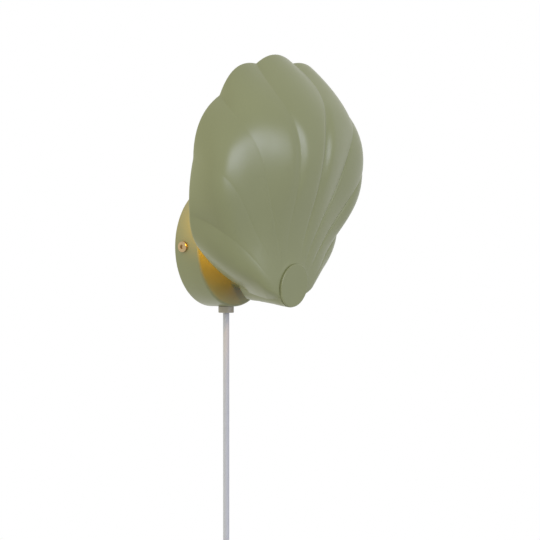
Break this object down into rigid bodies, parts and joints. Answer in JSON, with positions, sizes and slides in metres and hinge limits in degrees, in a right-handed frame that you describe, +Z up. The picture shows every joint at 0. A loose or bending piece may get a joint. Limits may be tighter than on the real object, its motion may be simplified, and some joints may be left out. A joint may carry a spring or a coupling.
{
  "type": "wall lamp",
  "caption": "Wall lamp with a ribbed scallop-shell shade of painted sheet on a short arm and a round wall dish, fed by a textile cord with an in-line switch and a plug.",
  "frame": {"origin": "middle of the wall dish's back, on the wall", "axes": "+Z up, the room at -Y, +Y into the wall, +X to the right as seen from the room"},
  "size_m": [0.201, 0.109, 0.6475],
  "materials": {
    "green_paint": "satin sage-green paint, gold paint inside the shade",
    "zinc_steel": "zinc plated",
    "brass": "brushed",
    "white_plastic": "matt moulded",
    "wire_sleeve": "soft sleeve",
    "porcelain": "unglazed porcelain",
    "bulb_glass": "clear",
    "filament": "phosphor-coated strips",
    "grey_plastic": "satin moulded",
    "grey_textile": "braided textile sleeve",
    "pale_plastic": "semi-gloss moulded",
    "tie_band": "hook-and-loop band",
    "nickel": "nickel plated"
  },
  "bodies": {
    "lamp": {"wall_dish": "green_paint", "wall_bracket": "zinc_steel", "dish_screws": "brass", "terminal_block": "white_plastic", "terminal_barrels": "brass", "terminal_screws": "zinc_steel", "block_screw": "zinc_steel", "supply_wires": "wire_sleeve", "holder_wires": "wire_sleeve", "arm_tube": "green_paint", "arm_rod": "zinc_steel", "arm_washer": "zinc_steel", "arm_locknut": "zinc_steel", "shade_shell": "green_paint", "umbo_cap": "green_paint", "shade_hub": "brass", "hub_screw": "zinc_steel", "holder_nipple": "zinc_steel", "lampholder": "porcelain", "holder_contacts": "brass", "cord_gland": "grey_plastic", "gland_locknut": "grey_plastic", "gland_grub_screw": "grey_plastic", "cord_drop": "grey_textile", "switch_base": "pale_plastic", "switch_cover": "pale_plastic", "switch_screws": "zinc_steel", "switch_contacts": "brass", "cord_lower": "grey_textile", "cord_coil": "grey_textile", "cord_tie": "tie_band", "cord_tail": "grey_textile", "plug_relief": "pale_plastic", "plug_body": "pale_plastic", "plug_pins": "nickel"},
    "bulb": {"bulb_pins": "zinc_steel", "bulb_base": "porcelain", "bulb_glass": "bulb_glass", "bulb_filament": "filament"},
    "rocker": {"switch_rocker": "pale_plastic"}
  },
  "joints": [
    {"name": "bulb_pull", "type": "slide", "parent": "lamp", "child": "bulb", "axis": [0, -0.1305, 0.9914], "range_m": [0, 0.022]},
    {"name": "rocker_tip", "type": "hinge", "parent": "lamp", "child": "rocker", "pos_m": [0, -0.0185, -0.281], "axis": [1, 0, 0], "range_deg": [-16, 0]}
  ]
}
